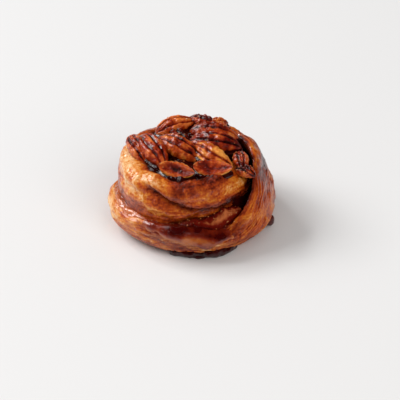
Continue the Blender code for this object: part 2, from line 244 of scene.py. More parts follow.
# Large numbers that scatter the heights of the noise, and the lowest bits that are kept of them
SCATTER_U, SCATTER_V, SCATTER_SEED, SCATTER_AGAIN = 374761393, 668265263, 974711, 1274126177
LOW_32_BITS, LOW_16_BITS = 0xFFFFFFFF, 0xFFFF


def lattice_noise(u, v, seed):
    """Value noise from 0 to 1: a hashed height at each whole u and v, and a smoothstep blend between."""
    i, j = np.floor(u).astype(np.int64), np.floor(v).astype(np.int64)
    fu, fv = u - i, v - j
    fu, fv = fu * fu * (3 - 2 * fu), fv * fv * (3 - 2 * fv)

    def corner(a, b):
        mixed = (a * SCATTER_U + b * SCATTER_V + seed * SCATTER_SEED) & LOW_32_BITS
        mixed = ((mixed ^ (mixed >> 13)) * SCATTER_AGAIN) & LOW_32_BITS
        return ((mixed ^ (mixed >> 16)) & LOW_16_BITS) / LOW_16_BITS

    low = corner(i, j) * (1 - fu) + corner(i + 1, j) * fu
    high = corner(i, j + 1) * (1 - fu) + corner(i + 1, j + 1) * fu
    return low * (1 - fv) + high * fv


def rough_noise(u, v, seed, octaves=4):
    """Octaves of value noise, each half the size and strength of the last, brought back to 0 to 1.

    A place is divided by the size of its largest lumps in millimetres to give u or v.
    """
    total = sum(lattice_noise(u * 2**k, v * 2**k, seed + 31 * k) * 0.5**k for k in range(octaves))
    return total / (2 - 0.5 ** (octaves - 1))


def outward(points, outer_columns):
    """Unit normals of a grid of points: the cross product of its two directions.

    Their sign is the one that points away from the bun's middle over the first, outer columns.
    """
    normal = np.cross(np.gradient(points, axis=0), np.gradient(points, axis=1))
    normal = normal / (np.linalg.norm(normal, axis=-1, keepdims=True) + 1e-9)
    return normal * np.sign((normal[:, :outer_columns] * points[:, :outer_columns]).sum())


def closed_shell(name, rings, **fields):
    """A closed skin over rings of points in millimetres, with a fan at each end and its faces outwards.

    Each field is one value for each point of the rings, kept as a float attribute of the mesh.
    """
    count, around = rings.shape[:2]
    index = np.arange(count * around).reshape(count, around)
    after = np.roll(index, -1, axis=1)
    quads = np.stack([index[:-1], index[1:], after[1:], after[:-1]], axis=-1).reshape(-1, 4)
    start, end = np.full(around, count * around), np.full(around, count * around + 1)
    start_fan = np.stack([start, index[0], after[0]], axis=1)
    fans = np.concatenate([start_fan, np.stack([end, after[-1], index[-1]], axis=1)])
    points = np.concatenate([rings.reshape(-1, 3), rings[:1].mean(axis=1), rings[-1:].mean(axis=1)])
    first, second, third, fourth = (points[quads[:, k]] for k in range(4))
    volume = np.einsum("ij,ij->", first, np.cross(second, third) + np.cross(third, fourth))
    if volume < 0:
        quads, fans = quads[:, ::-1], fans[:, ::-1]
    mesh = bpy.data.meshes.new(name)
    mesh.from_pydata(points * MM, [], quads.tolist() + fans.tolist())
    for field, values in fields.items():
        values = np.broadcast_to(values, (count, around))
        ends = np.array([values[0].mean(), values[-1].mean()])
        held = mesh.attributes.new(field, "FLOAT", "POINT")
        held.data.foreach_set("value", np.concatenate([values.ravel(), ends]).astype(np.float32))
    mesh.shade_smooth()
    made = bpy.data.objects.new(name, mesh)
    HOME.objects.link(made)
    return made


def linear(code):
    """An sRGB hex colour as linear red, green, blue and a full alpha."""
    parts = [int(code[i : i + 2], 16) / 255 for i in (1, 3, 5)]
    return [p / 12.92 if p <= 0.04045 else ((p + 0.055) / 1.055) ** 2.4 for p in parts] + [1.0]


def lumps_of(size):
    """The scale of a noise texture whose lumps have a size in millimetres: one over the size in metres."""
    return 1 / (size * MM)


def new_material(name, **sockets):
    """A material with its node tree and its shader, whose own sockets hold the values given."""
    made = bpy.data.materials.new(name)
    made.use_nodes = True
    shader = made.node_tree.nodes["Principled BSDF"]
    for socket, value in sockets.items():
        shader.inputs[socket.replace("_", " ")].default_value = value
    return made, made.node_tree, shader


def add_node(tree, kind, values=None, links=None, stops=None, **settings):
    """Adds a node with its settings, its sockets' values, what is plugged into it, and a ramp's stops."""
    made = tree.nodes.new(kind)
    for key, value in settings.items():
        setattr(made, key, value)
    for socket, value in (values or {}).items():
        made.inputs[socket].default_value = value
    for socket, source in (links or {}).items():
        tree.links.new(source, made.inputs[socket])
    for number, (place, code) in enumerate(stops or ()):
        held = made.color_ramp.elements
        stop = held[number] if number < len(held) else held.new(place)
        stop.position, stop.color = place, linear(code)
    return made


# The strip's skin: finely stepped where it shows, and coarsely where the nuts cover it
STRIP_START, COVERED_FROM, STRIP_END = 0.37, 2.05, 2.95
LENGTH_OF_TURN, FACE_HEIGHT, HALF_RIM = 300.0, 46.0, 3.5
shown = np.linspace(STRIP_START, COVERED_FROM, 700, endpoint=False)
turn = np.concatenate([shown, np.linspace(COVERED_FROM, STRIP_END, 90)])[:, None]
side, level = strip_section(turn, 64, 26, 10)
height = level * rim_height(turn)
along, across = turn * LENGTH_OF_TURN, level * FACE_HEIGHT + (1 - side) * HALF_RIM
plain_skin = strip_skin(turn, side, level)
on_outer_half = step_up(side, -0.9, -0.2)
in_front = bell(turn, 0.755, 0.085)

# Layers: lengthwise lips, each like a page edge, sharpest on the right-hand wall and on the coil's end
PAGE_SPACING, LIP_HEIGHT = 2.3, 0.65
drift = 5.0 * rough_noise(along / 40, across / 22, 3, 3)
page = (across / PAGE_SPACING + drift) % 1.0
lips = step_up(page, 0.0, 0.75) * (1 - step_up(page, 0.82, 1.0))
flaky = 0.35 + 0.65 * bell(turn, 1.02, 0.16) + 0.35 * bell(turn, 1.93, 0.10) + 0.25 * bell(turn, 0.80, 0.10)
flaky = np.clip(flaky, 0, 1) * step_up(rough_noise(along / 17, across / 9, 11, 2), 0.25, 0.65)

# Over the layers lie streaks, blisters, wrinkles and cracks, and in front the swollen runs of syrup
STREAK_HEIGHT, BLISTER_HEIGHT, WRINKLE_HEIGHT, CRACK_DEPTH, RUN_HEIGHT = 0.5, 0.6, 0.7, 0.2, 2.4
streaks = (rough_noise(along / 15 + drift, across / 1.5, 5, 4) - 0.5) * (1 - 0.8 * in_front)
blisters = step_up(rough_noise(along / 6.0, across / 5.5, 8, 2), 0.50, 0.78)
wrinkles = rough_noise(along / 3.6, across / 2.6, 21, 3) - 0.5
ridged = 1 - np.abs(2 * rough_noise(along / 8 + drift, across / 3.2, 25, 3) - 1)
cracks = step_up(ridged, 0.86, 0.99)
runs = in_front * (rough_noise(along / 9, across / 6, 71, 3) - 0.4)
relief = LIP_HEIGHT * flaky * (lips - 0.5) + STREAK_HEIGHT * (0.3 + flaky) * streaks
relief = relief + BLISTER_HEIGHT * blisters * (1 - 0.6 * flaky) + WRINKLE_HEIGHT * wrinkles
relief = relief - CRACK_DEPTH * cracks + RUN_HEIGHT * runs
relief = relief * on_outer_half * step_up(level, 0.0, 0.06)
skin = plain_skin + outward(plain_skin, 20) * relief[..., None]
skin[..., 2] = np.maximum(skin[..., 2], 0)

# Browning from 0, pale gold, to 1, dark brown, and syrup from 0, none, to 1, soaked. Both also carry painted
# light: painted shade on the roll's inner faces, in the crease and on the rim's inner half by the crevice,
# darker dips and cracks in the relief, and the painted highlights and shade of the patches.
# The crease is painted dark and syrupy: painted shade, with some real syrup in it
above_crease = height - through(CREASE, 1, turn)
crease_shade_and_syrup = bell(above_crease, 0, np.where(above_crease > 0, 4.5, 2.2))
crease_shade_and_syrup = crease_shade_and_syrup * ((turn > CREASE[0, 0]) & (turn < CREASE[-1, 0]))
crease_shade_and_syrup = crease_shade_and_syrup * np.clip(through(CREASE, 2, turn) / 4, 0, 1)
# The inner half of the outer turn's rim by the right-hand crevice is painted dark: painted shade
crevice_lip_shade = bell(turn, 0.95, 0.06) * (1 - step_up(side, -0.5, 0.75))
# The inner faces, which look into the crevices between the turns, are painted darker and syrupy: painted shade,
# with some real syrup
inner_face = 1 - step_up(side, -1.0, 0.1)
# Raised places are paler and dips and cracks browner: partly painted shade in the small hollows
browning = 0.49 + 0.6 * (rough_noise(along / 8, across / 5.5, 40, 4) - 0.5) - 0.30 * (relief - 0.1)
browning = browning + 0.4 * (0.2 + flaky) * streaks + 0.15 * cracks + 0.4 * crevice_lip_shade + 0.5 * inner_face
syrup = 0.85 * crease_shade_and_syrup + 0.8 * inner_face + crevice_lip_shade
syrup = syrup + 0.55 * (1 - step_up(height, 0.5, 4.0)) * bell(turn, 0.76, 0.12)
for at, up, half_turn, half_height, darker, syrup_and_shade_added in CRUST_AND_LIGHT_PATCHES:
    patch = bell(turn, at, half_turn) * bell(height, up, half_height)
    browning = browning + darker * patch
    syrup = syrup + syrup_and_shade_added * patch
syrup = np.clip(syrup + 0.9 * (rough_noise(along / 7, across / 3.5, 60, 4) - 0.56), 0, 1)
glazed = bell(turn, 1.52, 0.055) * bell(height, 42, 8.0)

LEAF_LENGTH, LEAF_THICKNESS, LEAF_IN_FRONT = 8.0, 1.1, 3.5
dough = closed_shell(
    "rolled_dough",
    skin,
    browning=np.clip(browning, 0, 1),
    syrup=syrup,
    wetness=np.clip(syrup + 0.9 * glazed + 0.5 * in_front, 0, 1),
    lengthwise=along / LEAF_LENGTH,
    crosswise=across / (LEAF_THICKNESS + (LEAF_IN_FRONT - LEAF_THICKNESS) * in_front),
)

# Baked laminated dough: a satin crust, pale gold on the blisters and brown in the dips between the layers,
# partly as painted shade, with fine leaves along it. Where caramel has soaked in it is redder and wet. Its
# clear glaze is the coat. The colour also shows the painted highlights and shade held in the browning and
# syrup fields.
SPECKLE_SIZE, GRIT_DEPTH = 1.3333, 0.7
crust, tree, shader = new_material("baked_laminated_dough", Coat_Weight=0.5, Coat_Roughness=0.12, IOR=1.34)
place = add_node(tree, "ShaderNodeTexCoord").outputs["Object"]
brown = add_node(tree, "ShaderNodeAttribute", attribute_name="browning").outputs["Fac"]
soaked_and_shaded = add_node(tree, "ShaderNodeAttribute", attribute_name="syrup").outputs["Fac"]
wet = add_node(tree, "ShaderNodeAttribute", attribute_name="wetness").outputs["Fac"]
lengthwise = add_node(tree, "ShaderNodeAttribute", attribute_name="lengthwise").outputs["Fac"]
crosswise = add_node(tree, "ShaderNodeAttribute", attribute_name="crosswise").outputs["Fac"]
sheet_place = add_node(tree, "ShaderNodeCombineXYZ", None, {"X": lengthwise, "Y": crosswise}).outputs[0]
leaf = add_node(
    tree, "ShaderNodeTexNoise", {"Scale": 1.0, "Detail": 4.0, "Roughness": 0.6}, {"Vector": sheet_place}
).outputs["Fac"]
speckle = add_node(
    tree,
    "ShaderNodeTexNoise",
    {"Scale": lumps_of(SPECKLE_SIZE), "Detail": 5.0, "Roughness": 0.65},
    {"Vector": place},
).outputs["Fac"]
spread = add_node(
    tree, "ShaderNodeMath", {1: 0.9, 2: -0.45}, {0: speckle}, operation="MULTIPLY_ADD"
).outputs[0]
leafy = add_node(
    tree, "ShaderNodeMath", {1: 0.4}, {0: leaf, 2: spread}, operation="MULTIPLY_ADD"
).outputs[0]
centred = add_node(tree, "ShaderNodeMath", {1: 0.2}, {0: leafy}, operation="SUBTRACT").outputs[0]
baked = add_node(tree, "ShaderNodeMath", None, {0: brown, 1: centred}, operation="ADD").outputs[0]
crust_colour = add_node(
    tree,
    "ShaderNodeValToRGB",
    links={"Fac": baked},
    stops=((0.0, "#ecbc84"), (0.25, "#d67e22"), (0.5, "#b84c0c"), (0.75, "#862804"), (1.0, "#440b02")),
).outputs["Color"]
syrup_colour = add_node(
    tree,
    "ShaderNodeValToRGB",
    links={"Fac": baked},
    stops=((0.0, "#a84a18"), (0.5, "#641a0b"), (1.0, "#260402")),
).outputs["Color"]
stained_and_shaded = add_node(
    tree, "ShaderNodeMix", None, {0: soaked_and_shaded, 6: crust_colour, 7: syrup_colour}, data_type="RGBA"
).outputs[2]
tree.links.new(stained_and_shaded, shader.inputs["Base Color"])
gloss = add_node(
    tree,
    "ShaderNodeMapRange",
    {"From Min": 0.0, "From Max": 1.0, "To Min": 0.38, "To Max": 0.14},
    {"Value": wet},
).outputs[0]
tree.links.new(gloss, shader.inputs["Roughness"])
grit = add_node(
    tree, "ShaderNodeBump", {"Strength": 0.8, "Distance": GRIT_DEPTH * MM}, {"Height": leafy}
).outputs["Normal"]
tree.links.new(grit, shader.inputs["Normal"])
dough.data.materials.append(crust)
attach(dough, "root")
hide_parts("dough")

# The bun's heart: the part baked into one, below the crevices of the roll. Caramel poured into the middle
# has set on its top as a lumpy, almost black bed round the nuts, and syrup has run down its sides.
HEART_RADII = (48, 48, 48, 46, 43, 40, 38, 36, 33, 31, 28, 18, 6)
HEART_HEIGHTS = (0, 4, 9, 14, 17, 20, 26, 31, 37, 41, 44, 45.4, 45.6)
INSIDE_WALL, MOUND_HEIGHT, LUMP_HEIGHT, LUMP_SIZE = 3.0, 3.0, 3.0, 6.0
angle = math.tau * np.linspace(0, 1, 160, endpoint=False)[None, :]
steps = np.linspace(0, len(HEART_RADII) - 1, 60)[:, None]
ring_radius = np.interp(steps, np.arange(len(HEART_RADII)), HEART_RADII)
ring_height = np.interp(steps, np.arange(len(HEART_RADII)), HEART_HEIGHTS)
outermost = np.where(angle / math.tau > ROLL[0, 0], angle / math.tau, angle / math.tau + 1)
facing = outermost + (ring_height > rim_height(outermost) - 1.0)
ring_radius = np.minimum(ring_radius, wall_radius(facing, ring_height) - INSIDE_WALL)
to_right, to_back = ring_radius * np.cos(angle), ring_radius * np.sin(angle)
lumps = rough_noise(to_right / LUMP_SIZE, to_back / LUMP_SIZE, 77, 3) - 0.5
mound = MOUND_HEIGHT * bell(to_right, 2, 24) * bell(to_back, 20, 14) + LUMP_HEIGHT * lumps
slope = 0.08 * ring_height / BUN_HEIGHT * to_back
heart_height = ring_height + slope + mound * step_up(ring_height, 20, 42)
heart_rings = settled_points(ring_radius, angle, heart_height)
bed_top = heart_rings[(ring_height > 43) & (heart_rings[..., 2] > 44)]
heart = closed_shell("dough_heart", heart_rings, thinness=0.1 + 0.3 * (lumps + 0.5))


# Set caramel: butter, sugar and cream boiled dark, poured on hot and set. Thick it is nearly black-red, and
# thin it lets the crust glow through. Its surface is smooth as glass over low swells and small bubbles.
CLOUD_SIZE, SWELL_DEPTH, BUBBLE_SIZE, BUBBLE_DEPTH = 3.846, 1.2, 0.909, 0.5


def caramel(name, deep, middle, thin, gloss=0.12, coat=0.4):
    """Caramel from its colours where thick, middling and thin, mottled over some millimetres."""
    made, tree, shader = new_material(
        name, Roughness=gloss, Coat_Weight=coat, Coat_Roughness=gloss / 2, IOR=1.49
    )
    place = add_node(tree, "ShaderNodeTexCoord").outputs["Object"]
    thinness = add_node(tree, "ShaderNodeAttribute", attribute_name="thinness").outputs["Fac"]
    cloud = add_node(
        tree,
        "ShaderNodeTexNoise",
        {"Scale": lumps_of(CLOUD_SIZE), "Detail": 4.0, "Roughness": 0.55},
        {"Vector": place},
    ).outputs["Fac"]
    shift = add_node(
        tree, "ShaderNodeMath", {1: 0.5, 2: -0.25}, {0: cloud}, operation="MULTIPLY_ADD"
    ).outputs[0]
    level = add_node(tree, "ShaderNodeMath", None, {0: thinness, 1: shift}, operation="ADD").outputs[0]
    colour = add_node(
        tree, "ShaderNodeValToRGB", links={"Fac": level}, stops=((0.0, deep), (0.5, middle), (1.0, thin))
    ).outputs["Color"]
    tree.links.new(colour, shader.inputs["Base Color"])
    bubbles = add_node(
        tree,
        "ShaderNodeTexNoise",
        {"Scale": lumps_of(BUBBLE_SIZE), "Detail": 3.0, "Roughness": 0.55},
        {"Vector": place},
    ).outputs["Fac"]
    swells = add_node(
        tree, "ShaderNodeBump", {"Strength": 0.8, "Distance": SWELL_DEPTH * MM}, {"Height": cloud}
    ).outputs["Normal"]
    ripple = add_node(
        tree,
        "ShaderNodeBump",
        {"Strength": 0.7, "Distance": BUBBLE_DEPTH * MM},
        {"Height": bubbles, "Normal": swells},
    ).outputs["Normal"]
    tree.links.new(ripple, shader.inputs["Normal"])
    return made


dark_caramel = caramel("dark_set_caramel", "#120101", "#3a0504", "#842408")
heart.data.materials.append(dark_caramel)
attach(heart, "root")
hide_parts("dough")

# Caramel on the ledge: it has run off the top, lies in the trough between the outer turn and the wall, and
# has set in lumps. It is a flattened bead that swells and sinks, and it climbs the wall under the coil.
LEDGE_START, LEDGE_END, LEDGE_TOP, LEDGE_STEPS = 0.425, 0.885, 20.6, 330
LEDGE_CLIMB, LEFT_TILT, LEDGE_LUMPS, PORE_DEPTH = 6.5, 3.0, 1.8, 1.0
turn = np.linspace(LEDGE_START, LEDGE_END, LEDGE_STEPS)[:, None]
taper = np.sin(math.pi * np.linspace(0.04, 0.96, LEDGE_STEPS))[:, None] ** 0.5
bead = np.linspace(0, math.tau, 56, endpoint=False)[None, :]
bead_level = np.minimum(rim_height(turn), LEDGE_TOP) - 0.8 - 1.6 * (1 - taper)
outer, inner = wall_radius(turn, bead_level), wall_radius(turn + 1, bead_level)
half_width = 0.42 * (outer - inner) * taper * (1 + 0.08 * np.sin(math.tau * 9 * turn))
middle = (outer + inner) / 2 - 0.12 * (outer - inner)
swell = rough_noise(turn * LENGTH_OF_TURN / 7, bead / 1.3, 90, 3)
under_coil = bell(turn, 0.825, 0.075)
at_left = 1 - step_up(turn, 0.58, 0.68)
to_wall = (1 - np.cos(bead)) / 2
half_height = (1.9 + 0.7 * at_left) * taper * (0.7 + 0.7 * swell) + 1.2 * under_coil
climb = LEDGE_CLIMB * under_coil * to_wall - LEFT_TILT * at_left * taper * np.cos(bead)
lumps = rough_noise(turn * LENGTH_OF_TURN / 4.5, 1.6 * np.cos(bead) + 9, 95, 4) - 0.5
pores = rough_noise(turn * LENGTH_OF_TURN / 1.6, 6 * np.cos(bead) + 30, 97, 3) - 0.5
bead_height = bead_level + climb + half_height * np.sin(bead) + 0.5 * (swell - 0.5)
bead_height = bead_height + LEDGE_LUMPS * lumps + PORE_DEPTH * pores * under_coil
bead_rings = settled_points(middle + half_width * np.cos(bead), math.tau * turn, bead_height)
ledge_top = bead_rings[(np.sin(bead) > 0.3) & (bead_rings[..., 2] > 0)]
# The shoulder mask lightens the caramel across the middle of the ledge under the coil and leaves it dark
# against the wall below the coil's overhang: painted shade
shoulder = under_coil * bell(to_wall, 0.45, 0.28)
thin_film = 0.80 * (1 - step_up(turn, 0.60, 0.73)) - 0.25 * bell(turn, 0.77, 0.045)
ledge_thinness_and_shade = 0.20 * swell + 0.95 * shoulder + thin_film + 0.4 * lumps + 0.8 * pores * shoulder
ledge_run = closed_shell("ledge_caramel", bead_rings, thinness=ledge_thinness_and_shade)
ledge_glass = caramel("ledge_set_caramel", "#340101", "#741608", "#c46a3a", gloss=0.14, coat=1.0)
ledge_run.data.materials.append(ledge_glass)
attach(ledge_run, "root")
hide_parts("dough")

# Caramel over the front: it has spilled from the ledge over the outer turn's rim and down its face, in a
# thin sheet with a lobed edge. It is the strip's own skin, raised where caramel covers it, sunk elsewhere.
SPILL_START, SPILL_END, SPILL_REACH, LOBED_EDGE = 0.56, 0.885, 11.0, 3.5
SUNK_BY, UNDERSIDE_DEPTH, LEAST_HEIGHT = 0.9, 1.5, 0.05
SPILL_COLUMNS = slice(8, 104)
turn = np.linspace(SPILL_START, SPILL_END, 330)[:, None]
side, level = (columns[:, SPILL_COLUMNS] for columns in strip_section(turn, 70, 40, 4))
down = rim_height(turn) - level * rim_height(turn)
reach = 2.0 + SPILL_REACH * bell(turn, 0.755, 0.060) + 1.2 * np.sin(math.tau * 17 * turn)
reach = reach + 6.0 * (rough_noise(turn * 36, 0 * turn, 101, 3) - 0.5)
ends = step_up(turn, 0.60, 0.70) * (1 - step_up(turn, 0.80, 0.86))
cover = (1 - step_up(down, reach - LOBED_EDGE, reach + LOBED_EDGE)) * ends * step_up(side, -0.95, -0.4)
film = 0.4 + 2.0 * rough_noise(turn * 42, level * 5, 103, 4)
base = strip_skin(turn, side, level)
normal = outward(base, 8)
top = base + normal * (film * cover - SUNK_BY * (1 - cover))[..., None]
under = base - normal * UNDERSIDE_DEPTH
sheet_rings = np.concatenate([top, under[:, ::-1]], axis=1)
sheet_rings[..., 2] = np.maximum(sheet_rings[..., 2], LEAST_HEIGHT)
sheet_thinness = 0.76 - 0.8 * cover + 0.75 * step_up(down, 2, 6) + 0.6 * (1.4 - film)
sheet_thinness = np.clip(sheet_thinness + 0.5 * (1 - step_up(turn, 0.66, 0.74)), 0, 1)
both_sides = np.concatenate([sheet_thinness, sheet_thinness[:, ::-1]], axis=1)
front_sheet = closed_shell("front_caramel", sheet_rings, thinness=both_sides)
front_sheet.data.materials.append(caramel("thin_set_caramel", "#3c0201", "#78200a", "#b05c22", gloss=0.16))
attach(front_sheet, "root")
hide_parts("dough")

# Caramel at the foot: what ran down the front has set on the surface below in a thick uneven pool. It is a
# bead bent to an arc round the foot, its width and height rippled.
POOL_START, POOL_ARC = math.radians(252), math.radians(54)
POOL_RADIUS, POOL_HALF_WIDTH, POOL_HEIGHT = 44.6, 5.6, 4.6
foot_along = np.linspace(0, 1, 220)[:, None]
way = POOL_START + foot_along * POOL_ARC
bead = np.linspace(0, math.tau, 44, endpoint=False)[None, :]
taper = np.sin(math.pi * (0.05 + 0.9 * foot_along)) ** 0.5
ripple = rough_noise(way * 9, bead / 1.5, 120, 3)
pool_radius = POOL_RADIUS + 0.8 * np.sin(9 * way)
pool_radius = pool_radius + (POOL_HALF_WIDTH + 3.0 * (ripple - 0.5)) * taper * np.cos(bead)
pool_height = 1.2 + POOL_HEIGHT * taper * np.sin(bead) * (0.45 + 1.1 * ripple)
pool = (pool_radius * np.cos(way), pool_radius * np.sin(way), np.maximum(pool_height, 0))
foot_pool = closed_shell("foot_caramel", np.stack(pool, axis=-1) + CENTRING, thinness=0.10 + 0.40 * ripple)
foot_pool.data.materials.append(dark_caramel)
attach(foot_pool, "root")
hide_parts("dough")

# The drip: one drop of caramel that has run down the right-hand side and set low down. It is a drop shape,
# fuller below, and a little lumpy.
DRIP_HALF_WIDTH, DRIP_HALF_DEPTH, DRIP_HALF_HEIGHT = 3.4, 2.6, 4.2
DRIP_PLACE, DRIP_TURN = (47.6, -15.5, 5.5), (0.0, 0.5, -0.3)
drip_up = np.linspace(0.04, 0.96, 40)[:, None] * math.pi
drip_round = np.linspace(0, math.tau, 40, endpoint=False)[None, :]
lumpy = 1 + 0.10 * (rough_noise(drip_round * 1.5 + drip_up, drip_up * 2, 131, 2) - 0.5)
fullness = np.sin(drip_up) * (1 + 0.25 * np.cos(drip_up)) * lumpy
drip = np.stack(
    [
        DRIP_HALF_WIDTH * fullness * np.cos(drip_round),
        DRIP_HALF_DEPTH * fullness * np.sin(drip_round),
        -DRIP_HALF_HEIGHT * np.cos(drip_up) + 0 * drip_round,
    ],
    axis=-1,
)
drip = drip @ np.array(Euler(DRIP_TURN).to_matrix()).T + DRIP_PLACE + CENTRING
drop = closed_shell("side_caramel_drop", drip, thinness=0.55)
drop.data.materials.append(dark_caramel)
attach(drop, "root")
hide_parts("dough")


# The cushions: the caramel that holds the nuts down. It has set round the foot of each in a dark, lumpy
# cushion that reaches a little past the nut and runs into the bed.
CUSHION_LONGER, CUSHION_WIDER, CUSHION_THICKNESS, CUSHION_DROP = 1.4, 2.4, 6.4, 3.6


def lay_cushion(number, length, width, spot, pitch, yaw):
    """An ellipsoid under a nut, long axis along it, its outline and its top swollen unevenly by noise."""
    lengthwise = -np.cos(np.linspace(0.12, math.pi - 0.12, 48))[:, None]
    turned = np.linspace(0, math.tau, 48, endpoint=False)[None, :]
    swollen = rough_noise(3 * lengthwise + 9, 1.5 * np.cos(turned) + 9, 500 + 17 * number, 4)
    swollen = (0.8 + 0.4 * swollen) * np.sqrt(1 - lengthwise**2)
    x = (length + CUSHION_LONGER) / 2 * lengthwise + 0 * turned
    y = (width + CUSHION_WIDER) / 2 * swollen * np.cos(turned)
    z = CUSHION_THICKNESS / 2 * swollen * np.sin(turned)
    laid = np.array(Euler((0, math.radians(pitch), math.radians(yaw))).to_matrix())
    lump = np.stack([x, y, z], axis=-1) @ laid.T + spot - (0, 0, CUSHION_DROP) + CENTRING
    cushion = closed_shell(f"caramel_round_nut_{number:02d}", lump, thinness=0.25)
    cushion.data.materials.append(dark_caramel)
    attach(cushion, "root")
    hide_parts("dough")


# The pecans: shelled halves and a few broken pieces, toasted under the caramel. The back of a half is domed
# with two deep grooves along it, the inner face is flat with a channel, and the rim is crimped.
PECAN_LENGTH, PECAN_WIDTH, PECAN_THICKNESS = 33.0, 14.6, 8.5
GROOVE_DEPTH, GROOVE_WIDTH, GROOVE_PLACE, PUCKER_HEIGHT = 1.5, 0.14, 0.38, 1.9

# Each nut: the place of its middle, its yaw, pitch and roll in degrees, its length as a share of a whole
# half's, and how light and how golden its skin is. Three of them lie on bare dough, without a cushion.
NUTS = (
    # The first nut's lightness is set high partly as a painted highlight on its top
    (-11.6, 23, 51.6, 22, -6, 16, 0.82, 0.80, 0.10),
    (6, 28, 50.6, -22, 2, -10, 0.70, 0.50, 0.10),
    (15.5, 27, 50.8, 12, 0, 0, 0.40, 0.65, 0.45),
    (12.5, 18, 50.0, -8, 2, -6, 0.98, 0.62, 0.25),
    (13.5, 6.5, 49.6, -8, 3, 14, 1.02, 0.50, 0.10),
    (11.5, -6.5, 47.4, -36, 10, 52, 0.90, 0.78, 0.55),
    (-8.5, 0.8, 48.6, -30, 14, 8, 1.02, 0.64, 0.35),
    (-10, 14, 47.6, -50, 10, 20, 0.80, 0.30, 0.20),
    (-25.2, -2.5, 49.6, -60, 12, 8, 1.00, 0.66, 0.05),
    (-34.4, 0.0, 48.8, -60, 18, 20, 0.78, 0.66, 0.15),
    (12, -19, 46.8, -4, 0, -152, 0.74, 0.62, 0.15),
    (-10.2, -21.0, 46.6, -16, 4, -148, 0.70, 0.55, 0.45),
    (29.4, -8.6, 46.0, -80, 10, 6, 0.50, 0.55, 0.15),
    (32.2, -16.0, 42.8, -40, 0, 24, 0.46, 0.40, 0.55),
)
ON_BARE_DOUGH = (10, 13, 14)


def pecan_rings(length, width, thickness, seed, rings=84, around=72):
    """A pecan half, long axis on X: domed above and flat below, with grooves, wrinkles and a channel.

    Also gives how deep each point lies in a groove or in the channel, and how near it is to the rim.
    """
    lengthwise = -np.cos(np.linspace(0.13, math.pi - 0.13, rings))[:, None]
    turned = np.linspace(0, math.tau, around, endpoint=False)[None, :]
    up = np.sin(turned)
    girth = (1 - np.abs(lengthwise) ** 2.4) ** 0.62 * (1 - 0.14 * lengthwise)
    across = np.cos(turned) * (1 + 0.05 * np.sin(5 * lengthwise + 1))
    wander = 0.10 * (rough_noise(lengthwise * 5, 0 * across, seed, 2) - 0.5)
    wander = wander + 0.10 * np.sin(4.1 * lengthwise + seed)
    grooves = bell(np.abs(across + 0.6 * wander), GROOVE_PLACE, GROOVE_WIDTH) * step_up(up, 0.0, 0.2)
    seam = 0.25 * bell(across, -wander, 0.07) * step_up(up, 0.2, 0.5)
    puckers = rough_noise(lengthwise * 7 + 1.6 * np.abs(across), across * 4.2, seed + 5, 4) - 0.5
    wrinkles = PUCKER_HEIGHT * puckers + 0.15 * np.sin(17 * lengthwise + 4 * across)
    dome = np.where(up > 0, 0.70, 0.30) * thickness * np.sign(up) * np.abs(up) ** 0.8
    hollow = bell(across, 0, 0.46) * step_up(-up, 0.05, 0.4)
    channel = thickness * (0.26 + 0.16 * puckers) * hollow
    crimp = 1 + 0.05 * np.sin(21 * lengthwise + seed) * bell(up, 0, 0.35)
    x = length / 2 * lengthwise + 0 * turned
    y = width / 2 * girth * across * crimp
    z = dome - GROOVE_DEPTH * (grooves + seam) + wrinkles * step_up(up, 0.05, 0.4) + channel
    z = girth * z - 0.09 * length * lengthwise**2
    dips = np.clip(grooves + seam + 0.6 * np.clip(-puckers * 2, 0, 1), 0, 1) + 0.55 * hollow
    return np.stack([x, y, z], axis=-1), dips, bell(up, 0, 0.30)


# Toasted pecan skin under caramel: reddish brown, paler on the ridges and the rim, and almost black in the
# grooves where syrup has set, with a hard clear gloss broken up by sugar.
COATING_SIZE, TOAST_SIZE, CRYSTAL_SIZE, CRYSTAL_DEPTH = 6.667, 2.381, 1.25, 0.6
nut_skin, tree, shader = new_material(
    "caramel_coated_pecan", Roughness=0.30, Coat_Weight=0.40, Coat_Roughness=0.08, IOR=1.40
)
place = add_node(tree, "ShaderNodeTexCoord").outputs["Object"]
groove = add_node(tree, "ShaderNodeAttribute", attribute_name="groove").outputs["Fac"]
shade = add_node(tree, "ShaderNodeAttribute", attribute_name="lightness").outputs["Fac"]
gold = add_node(tree, "ShaderNodeAttribute", attribute_name="gold").outputs["Fac"]
toast = add_node(
    tree,
    "ShaderNodeTexNoise",
    {"Scale": lumps_of(TOAST_SIZE), "Detail": 5.0, "Roughness": 0.62},
    {"Vector": place},
).outputs["Fac"]
sugar = add_node(
    tree,
    "ShaderNodeTexNoise",
    {"Scale": lumps_of(CRYSTAL_SIZE), "Detail": 3.0, "Roughness": 0.6},
    {"Vector": place},
).outputs["Fac"]
coated = add_node(
    tree,
    "ShaderNodeTexNoise",
    {"Scale": lumps_of(COATING_SIZE), "Detail": 2.0, "Roughness": 0.5},
    {"Vector": place},
).outputs["Fac"]
varied = add_node(
    tree, "ShaderNodeMath", {1: 0.8, 2: -0.4}, {0: toast}, operation="MULTIPLY_ADD"
).outputs[0]
uneven = add_node(
    tree, "ShaderNodeMath", {1: 1.6}, {0: coated, 2: varied}, operation="MULTIPLY_ADD"
).outputs[0]
offset = add_node(tree, "ShaderNodeMath", {1: 0.8}, {0: uneven}, operation="SUBTRACT").outputs[0]
lighter = add_node(tree, "ShaderNodeMath", None, {0: shade, 1: offset}, operation="ADD").outputs[0]
dipped = add_node(
    tree, "ShaderNodeMath", {1: -0.55}, {0: groove, 2: lighter}, operation="MULTIPLY_ADD"
).outputs[0]
red_skin = add_node(
    tree,
    "ShaderNodeValToRGB",
    links={"Fac": dipped},
    stops=((0.0, "#200101"), (0.3, "#5a0802"), (0.6, "#962402"), (1.0, "#da6c2c")),
).outputs["Color"]
